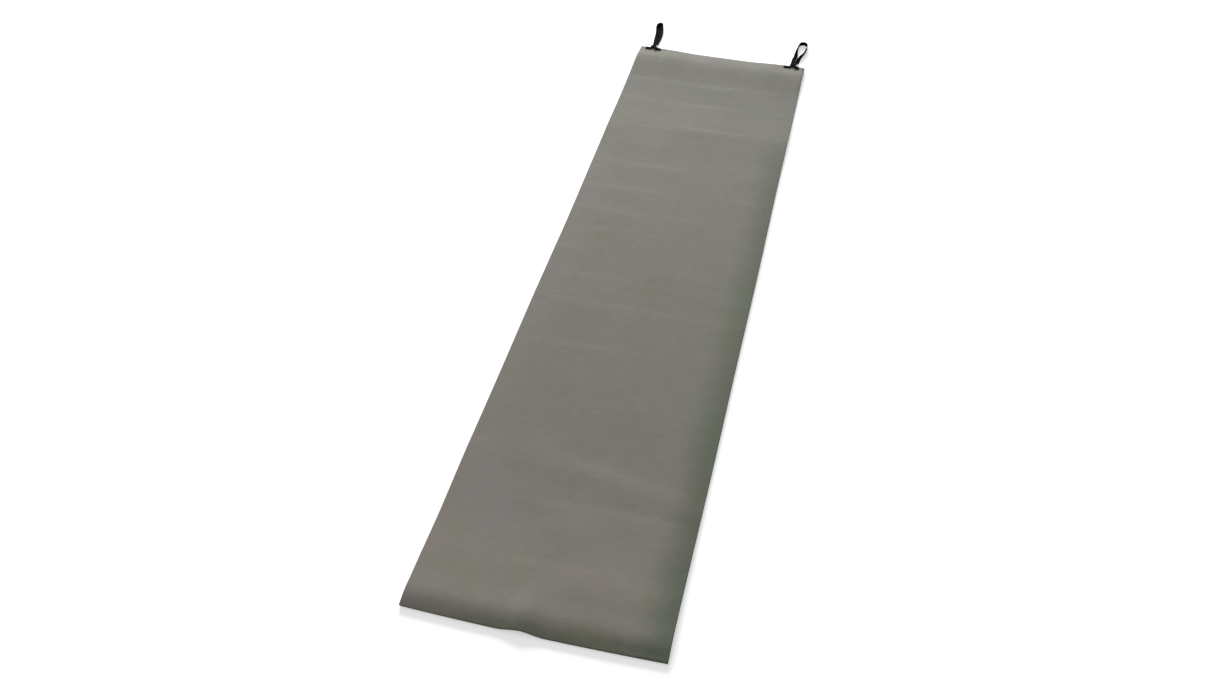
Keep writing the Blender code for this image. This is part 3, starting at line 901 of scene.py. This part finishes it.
def make_sheet(scene):
    """The foam sheet: one closed skin with rounded cut edges and the lifts of a rolled mat."""
    sizes = scene.mat_sheet
    points, faces, cut = flat_sheet(sizes.cut_round)
    x, y = points[:, 0].copy(), points[:, 1].copy()
    share = points[:, 2] / SHEET_THICKNESS
    upper = smooth(share * 2.0 - 1.0)
    lower = smooth(1.0 - share * 2.0)
    points[:, 0] += side_wander(x, y, sizes.wander)
    points[:, 1] += edge_shift(x, y - NEAR_EDGE)
    points[:, 2] += sheet_lift(x, y)
    for start, end, _ in seams(scene.mat_stitch):
        pull = np.exp(-((segment_distance(points, start, end) / DIMPLE_REACH) ** 2))
        points[:, 2] += sizes.dimple * pull * (lower - upper)
    for _, tee_x, _, _ in SIDES:
        start = (tee_x - SEAT_HALF_LENGTH, TEE_LINE)
        end = (tee_x + SEAT_HALF_LENGTH, TEE_LINE)
        seat = smooth((SEAT_HALF_WIDTH - segment_distance(points, start, end)) / SEAT_FADE)
        points[:, 2] += sizes.press * upper * seat
    skins = [foam_skin(scene.mat_finishes), foam_cut(scene.mat_finishes)]
    sheet = new_piece("foam_sheet_skin", points, faces.tolist(), skins)
    sheet.data.polygons.foreach_set("material_index", cut)
    return sheet


def fold(x, y, crease, lift):
    """Point and normal of a flat band along X that is folded over at 45 degrees."""
    across_fold = np.array((1.0, -1.0, 0.0)) / ROOT_TWO
    beyond = (x - crease - y) / ROOT_TWO
    up = np.array((0.0, 0.0, 1.0))
    spot = np.array((x, y, lift))
    foot = spot - across_fold * beyond
    if beyond <= 0.0:
        return spot, up
    if beyond >= math.pi * FOLD_RADIUS:
        rest = beyond - math.pi * FOLD_RADIUS
        return foot - across_fold * rest + up * 2 * FOLD_RADIUS, -up
    turn = beyond / FOLD_RADIUS
    point = foot + across_fold * FOLD_RADIUS * math.sin(turn)
    point = point + up * FOLD_RADIUS * (1.0 - math.cos(turn))
    return point, up * math.cos(turn) - across_fold * math.sin(turn)


def end_place(tee_x, side, leg, layer):
    """A function that gives the point and normal of a spot of a sewn end, and the end's length."""
    leg_middle = side * leg
    crease = leg_middle - FOLD_TRAVEL
    ramp_start = crease - BAND_WIDTH / 2 - RAMP_SPARE - RAMP_LENGTH
    height = layer * LAYER_PITCH

    def place(along, across):
        x = along - TEE_REACH
        share = (x - ramp_start) / RAMP_LENGTH
        point, normal = fold(x, across, crease, height * float(smooth(share)))
        if 0.0 < share < 1.0:
            slope = height * 6.0 * share * (1.0 - share) / RAMP_LENGTH
            normal = np.array((-slope, 0.0, 1.0)) / math.hypot(slope, 1.0)
        point = np.array((tee_x + side * point[0], TEE_LINE + point[1], FIRST_LAYER + point[2]))
        return point, normal * np.array((side, 1.0, 1.0))

    return place, TEE_REACH + leg_middle + LEG_END


def width_direction(tilt, slant):
    """Direction of the band's width: towards -X when level, straight up at a quarter turn."""
    level = math.cos(tilt)
    return np.array((-level * math.cos(slant), -level * math.sin(slant), math.sin(tilt)))


def route_middle(route, legs, tee_x):
    """A function that gives the band's middle and width direction on a route, and its spans."""
    end_gap = SEAT_GAP / 2 / MM
    first = (legs[0] / MM, end_gap, 0, 0, 0)
    last = (legs[1] / MM, end_gap, 0, 0, route[-1][-1])
    table = np.array((first,) + route + (last,), dtype=float)
    marks = run_lengths(table[:, :3])
    slopes = np.zeros_like(table)
    slopes[1:-1] = (table[2:] - table[:-2]) / (marks[2:] - marks[:-2])[:, None]
    slopes[0, 1], slopes[-1, 1] = 1.0, -1.0

    def middle(place):
        span = min(int(place), len(table) - 2)
        t = place - span
        gap = marks[span + 1] - marks[span]
        row = table[span] + t * t * (3 - 2 * t) * (table[span + 1] - table[span])
        row = row + t * (1 - t) ** 2 * gap * slopes[span] + t * t * (t - 1) * gap * slopes[span + 1]
        sideways, outwards, low_side, tilt, slant = row
        layer = LOWER_LEG_LAYER if 2 * place < len(table) - 1 else UPPER_LEG_LAYER
        stand = layer - FLOOR_GAP - BAND_THICKNESS / 2
        drop = stand * (1.0 - float(smooth(outwards * MM / LOOP_DROP)))
        tilt = math.radians(tilt)
        half_height = BAND_WIDTH * abs(math.sin(tilt)) + BAND_THICKNESS * math.cos(tilt)
        height = FLOOR_GAP + low_side * MM + half_height / 2 + drop
        point = np.array((tee_x + sideways * MM, FAR_EDGE + outwards * MM, height))
        return point, width_direction(tilt, math.radians(slant))

    return middle, len(table) - 1


def route_stations(route, legs, tee_x, step):
    """Point, width direction and heading at even distances along a route, and its length."""
    middle, spans = route_middle(route, legs, tee_x)
    fine = np.linspace(0.0, spans, spans * ROUTE_PARTS + 1)
    line = np.array([middle(place)[0] for place in fine])
    run = run_lengths(line)
    count = int(round(run[-1] / step))
    stations = []
    for place in np.interp(np.linspace(0.0, run[-1], count + 1), run, fine):
        point, width = middle(place)
        ahead = middle(min(place + ROUTE_NUDGE, spans))[0]
        heading = ahead - middle(max(place - ROUTE_NUDGE, 0.0))[0]
        heading /= np.linalg.norm(heading)
        width = width - heading * (width @ heading)
        stations.append((point, width / np.linalg.norm(width), heading))
    return stations, run[-1]


def band_outline(sizes):
    """The ribbed outline of the band, as (across, above) pairs going round it once."""
    half = BAND_WIDTH / 2
    inner = half - SELVEDGE
    across = np.linspace(-inner, inner, sizes.ribs * 4 + 1)
    furrow = np.abs(np.cos(math.pi * sizes.ribs * (across + half) / BAND_WIDTH)) ** 3
    above = BAND_THICKNESS / 2 - sizes.rib_depth * furrow
    turns = np.radians((60.0, 25.0))
    edge = [(inner + SELVEDGE * math.cos(t), above[-1] * math.sin(t)) for t in turns]
    top = list(zip(across, above)) + edge + [(half, 0.0)]
    lower = [(a, -b) for a, b in top[-2::-1]]
    left = [(-a, -b) for a, b in edge] + [(-half, 0.0)] + [(-a, b) for a, b in edge[::-1]]
    return np.array(top + lower + left)


def end_rings(place, length, step, outline, face):
    """Places along a sewn end and its rings. The face is -1 where the band lies upside down."""
    marks = np.linspace(0.0, length, int(round(length / step)) + 1)
    rings = []
    for along in marks:
        ring = []
        for across, above in outline * face:
            point, normal = place(along, across)
            ring.append(point + normal * above)
        rings.append(ring)
    return marks, rings


def make_elastic(scene, prefix, tee_x, legs, route, material):
    """One elastic in one piece: arm, 45-degree fold, loop, second fold and arm."""
    sizes = scene.mat_elastic
    outline = band_outline(sizes)
    face = -math.cos(math.radians(route[-1][-1]))
    end_step = sizes.step / 2
    place, lower_length = end_place(tee_x, 1.0, legs[0], 0)
    marks, rings = end_rings(place, lower_length, end_step, outline, 1.0)
    places = list(marks)
    stations, loop_length = route_stations(route, legs, tee_x, sizes.step)
    for number, (point, width, heading) in enumerate(stations[1:-1], 1):
        normal = np.cross(heading, width)
        rings.append([point - width * across - normal * above for across, above in outline])
        places.append(lower_length + loop_length * number / (len(stations) - 1))
    place, upper_length = end_place(tee_x, -1.0, legs[1], 2)
    marks, upper_rings = end_rings(place, upper_length, end_step, outline, face)
    rings += upper_rings[::-1]
    places += list(lower_length + loop_length + upper_length - marks[::-1])
    points = np.array(rings).reshape(-1, 3)
    base = TEE_TOP + SEAT_GAP
    for start, end, top in seams(scene.mat_stitch):
        pull = np.exp(-((segment_distance(points, start, end) / STITCH_SINK_REACH) ** 2))
        depth = np.clip((points[:, 2] - base) / (top - base), 0.0, 1.0)
        points[:, 2] -= STITCH_SINK * (depth * pull)
    faces = ring_faces(len(rings), len(outline))
    piece = new_piece(prefix + "_elastic", points, faces, [material])
    spots = np.zeros((len(rings), len(outline), 3))
    spots[:, :, 0] = np.array(places)[:, None]
    spots[:, :, 1] = outline[:, 0]
    keep_places(piece, spots.reshape(-1, 3))
    return piece


def zigzag(length, width, count, level, arch):
    """The path of a dense zigzag: each stitch arches over the ones beneath and dips at its ends."""
    path = []
    pitch = length / count
    for number in range(count):
        side = 1 if number % 2 else -1
        start = -length / 2 + pitch * number
        path.append((start, -side * width / 2, level - STITCH_DIP))
        for share in (0.10, 0.32, 0.5, 0.68, 0.90):
            rise = arch * 4 * share * (1 - share)
            path.append((start + pitch * share, side * width * (share - 0.5), level + rise))
    path.append((length / 2, path[-1][1] * 1.02, level - STITCH_DIP))
    return np.array(path)


def tack_paths(sizes, length, top):
    """Paths of a tack's thread: zigzag on top, two straight runs under it, zigzag underneath."""
    radius = sizes.thread / 2
    length -= 2 * radius
    width = sizes.width - 2 * radius
    level = top - STITCH_SINK + radius * 1.3
    paths = [zigzag(length, width, sizes.stitches, level, STITCH_ARCH)]
    for side in (-RUN_PLACE, RUN_PLACE):
        run = np.zeros((RUN_POINTS, 3))
        run[:, 0] = np.linspace(radius - length / 2, length / 2 - radius, RUN_POINTS)
        run[:, 1] = side * width
        run[:, 2] = level - radius
        run[[0, -1], 2] -= RUN_END_DIP
        paths.append(run)
    below = zigzag(length, width, sizes.stitches, 0.0, STITCH_UNDER_ARCH)
    below[:, 2] = TEE_LIFT + STITCH_UNDER_LEVEL - below[:, 2]
    return paths + [below]


def make_tack(scene, name, spot, along_x, top, material):
    """A bar tack, made of round thread."""
    sizes = scene.mat_stitch
    around = np.abs(np.linspace(-1.0, 1.0, THREAD_SIDES, endpoint=False))
    points, faces, places = [], [], []
    for path in tack_paths(sizes, sizes.throat_length if along_x else sizes.length, top):
        turned = path if along_x else path[:, (1, 0, 2)] * (-1.0, 1.0, 1.0)
        rings = thread_rings(turned + (*spot, 0.0), sizes.thread / 2)
        faces += ring_faces(len(rings), THREAD_SIDES, sum(map(len, points)))
        spots = np.stack(np.broadcast_arrays(run_lengths(path)[:, None], around[None, :], 0.0), 2)
        places.append(spots.reshape(-1, 3))
        points.append(rings.reshape(-1, 3))
    piece = new_piece(name, np.concatenate(points), faces, [material])
    keep_places(piece, np.concatenate(places))
    return piece


class MAT_OT_foam_sheet(Operator):
    """Makes the foam sheet"""

    bl_idname = "mat.foam_sheet"
    bl_label = "Foam sheet"

    def execute(self, context):
        sheet = make_sheet(context.scene)
        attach(sheet, "mat")
        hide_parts("foam_sheet")
        return {"FINISHED"}


class MAT_OT_elastics(Operator):
    """Makes both elastics, each one unbroken band"""

    bl_idname = "mat.elastics"
    bl_label = "Elastic loops"

    def execute(self, context):
        scene = context.scene
        material = elastic_weave(scene.mat_finishes, scene.mat_elastic.ribs)
        for prefix, tee_x, legs, route in SIDES:
            piece = make_elastic(scene, prefix, tee_x, legs, route, material)
            nodes = [prefix + "_elastic_" + part for part in ("lower_end", "upper_end", "loop")]
            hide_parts(*nodes)
            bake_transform(piece)
        return {"FINISHED"}


class MAT_OT_bar_tacks(Operator):
    """Makes the stitches that hold the elastics to the foam"""

    bl_idname = "mat.bar_tacks"
    bl_label = "Bar tacks"

    def execute(self, context):
        material = thread_twist(context.scene.mat_finishes)
        for prefix, tee_x, legs, _ in SIDES:
            for name, spot, along_x, top in tack_spots(tee_x, legs):
                node = prefix + "_" + name
                piece = make_tack(context.scene, node + "_thread", spot, along_x, top, material)
                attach(piece, "mat")
                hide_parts(node)
        return {"FINISHED"}


def add_lamp(name, place, size, share):
    """A soft lamp aimed at the mat's middle, with its share of the light that falls there."""
    lamp = bpy.data.lights.new(name, "AREA")
    lamp.shape = "RECTANGLE"
    lamp.size, lamp.size_y = size
    way = -Vector(place)
    steepness = -way.normalized().z
    lamp.energy = share * (math.pi * way.length) ** 2 / steepness
    item = bpy.data.objects.new(name, lamp)
    item.location = place
    item.rotation_euler = way.to_track_quat("-Z", "Y").to_euler()
    bpy.context.scene.collection.objects.link(item)


def make_world(stage):
    """Even light from all round, and plain white wherever the camera looks past the floor."""
    world = bpy.data.worlds.new("studio")
    world.use_nodes = True
    bpy.context.scene.world = world
    bench = Bench(world.node_tree)
    path = bench.node("ShaderNodeLightPath").socket.node.outputs
    seen = Flow(bench, path["Is Camera Ray"])
    for name in ("Is Glossy Ray", "Is Transmission Ray"):
        seen = seen.math("MAXIMUM", Flow(bench, path[name]))
    background = world.node_tree.nodes["Background"]
    bench.feed(background.inputs["Color"], WHITE)
    bench.feed(background.inputs["Strength"], seen * (1.0 - stage.world) + stage.world)


def make_floor():
    """A plain white floor that keeps the mat's shadow and stays white far from the lamps."""
    finish = Finish("floor")
    finish.set(Base_Color=(0.94, 0.94, 0.94, 1.0), Roughness=0.9)
    path = finish.node("ShaderNodeLightPath").socket.node.outputs
    seen = Flow(finish, path["Is Camera Ray"])
    distance = finish.node("ShaderNodeVectorMath", {"operation": "LENGTH"}, (finish.place(),), 1)
    glow = distance.step(*FLOOR_GLOW_REACH).blend(WHITE, scaled(WHITE[:3], 2.0))
    finish.set(Emission_Color=seen.blend(BLACK, glow))
    finish.set(Emission_Strength=FLOOR_GLOW, Specular_IOR_Level=0.1)
    half = FLOOR_HALF
    corners = [(-half, -half, 0.0), (half, -half, 0.0), (half, half, 0.0), (-half, half, 0.0)]
    floor = new_piece("floor", corners, [(0, 1, 2, 3)], [finish.material])


def make_camera(stage):
    """The camera where the photograph was taken from."""
    heading, tilt, roll = stage.camera_turn
    ahead = Vector((
        math.sin(heading) * math.cos(tilt), math.cos(heading) * math.cos(tilt), -math.sin(tilt)
    ))
    level = Vector((math.cos(heading), -math.sin(heading), 0.0))
    upright = level.cross(ahead)
    right = level * math.cos(roll) + upright * math.sin(roll)
    up = upright * math.cos(roll) - level * math.sin(roll)
    data = bpy.data.cameras.new("camera")
    data.lens = stage.lens
    data.sensor_width = 36.0
    data.shift_x = stage.shift
    data.clip_start = 0.01
    data.clip_end = 100.0
    camera = bpy.data.objects.new("camera", data)
    camera.matrix_world = (
        Matrix.Translation(stage.camera_place) @ Matrix((right, up, -ahead)).transposed().to_4x4()
    )
    bpy.context.scene.collection.objects.link(camera)
    bpy.context.scene.camera = camera


class MAT_OT_stage(Operator):
    """Makes the floor, the lamps, the world and the camera"""

    bl_idname = "mat.stage"
    bl_label = "Stage"

    def execute(self, context):
        stage = context.scene.mat_stage
        make_world(stage)
        make_floor()
        add_lamp("far_lamp", (-3.0, 8.0, 3.3), (5.4, 2.4), stage.key)
        add_lamp("top_lamp", (-0.6, 0.4, 3.6), (3.2, 3.2), stage.top)
        make_camera(stage)
        context.scene.view_settings.view_transform = "Standard"
        return {"FINISHED"}


class MAT_PT_sleeping_mat(Panel):
    """Lists the pieces of the mat and their sizes"""

    bl_idname = "MAT_PT_sleeping_mat"
    bl_label = "Sleeping mat"
    bl_space_type = "VIEW_3D"
    bl_region_type = "UI"
    bl_category = "Sleeping mat"

    def draw(self, context):
        for operator, group in PIECES:
            box = self.layout.box()
            box.operator("mat." + operator)
            sizes = getattr(context.scene, group)
            for name in sizes.__annotations__:
                box.prop(sizes, name)
        box = self.layout.box()
        for name in MatFinishes.__annotations__:
            box.prop(context.scene.mat_finishes, name)


PIECES = (
    ("foam_sheet", "mat_sheet"),
    ("elastics", "mat_elastic"),
    ("bar_tacks", "mat_stitch"),
    ("stage", "mat_stage"),
)
GROUPS = {
    "mat_sheet": MatSheetSizes,
    "mat_elastic": MatElasticSizes,
    "mat_stitch": MatStitchSizes,
    "mat_finishes": MatFinishes,
    "mat_stage": MatStage,
}
CLASSES = tuple(GROUPS.values()) + (
    MAT_OT_foam_sheet, MAT_OT_elastics, MAT_OT_bar_tacks, MAT_OT_stage, MAT_PT_sleeping_mat,
)


def register():
    for item in CLASSES:
        bpy.utils.register_class(item)
    for name, group in GROUPS.items():
        setattr(bpy.types.Scene, name, PointerProperty(type=group))


def unregister():
    for name in GROUPS:
        delattr(bpy.types.Scene, name)
    for item in reversed(CLASSES):
        bpy.utils.unregister_class(item)


def main():
    register()
    for operator, _ in PIECES:
        getattr(bpy.ops.mat, operator)()


if __name__ == "__main__":
    main()
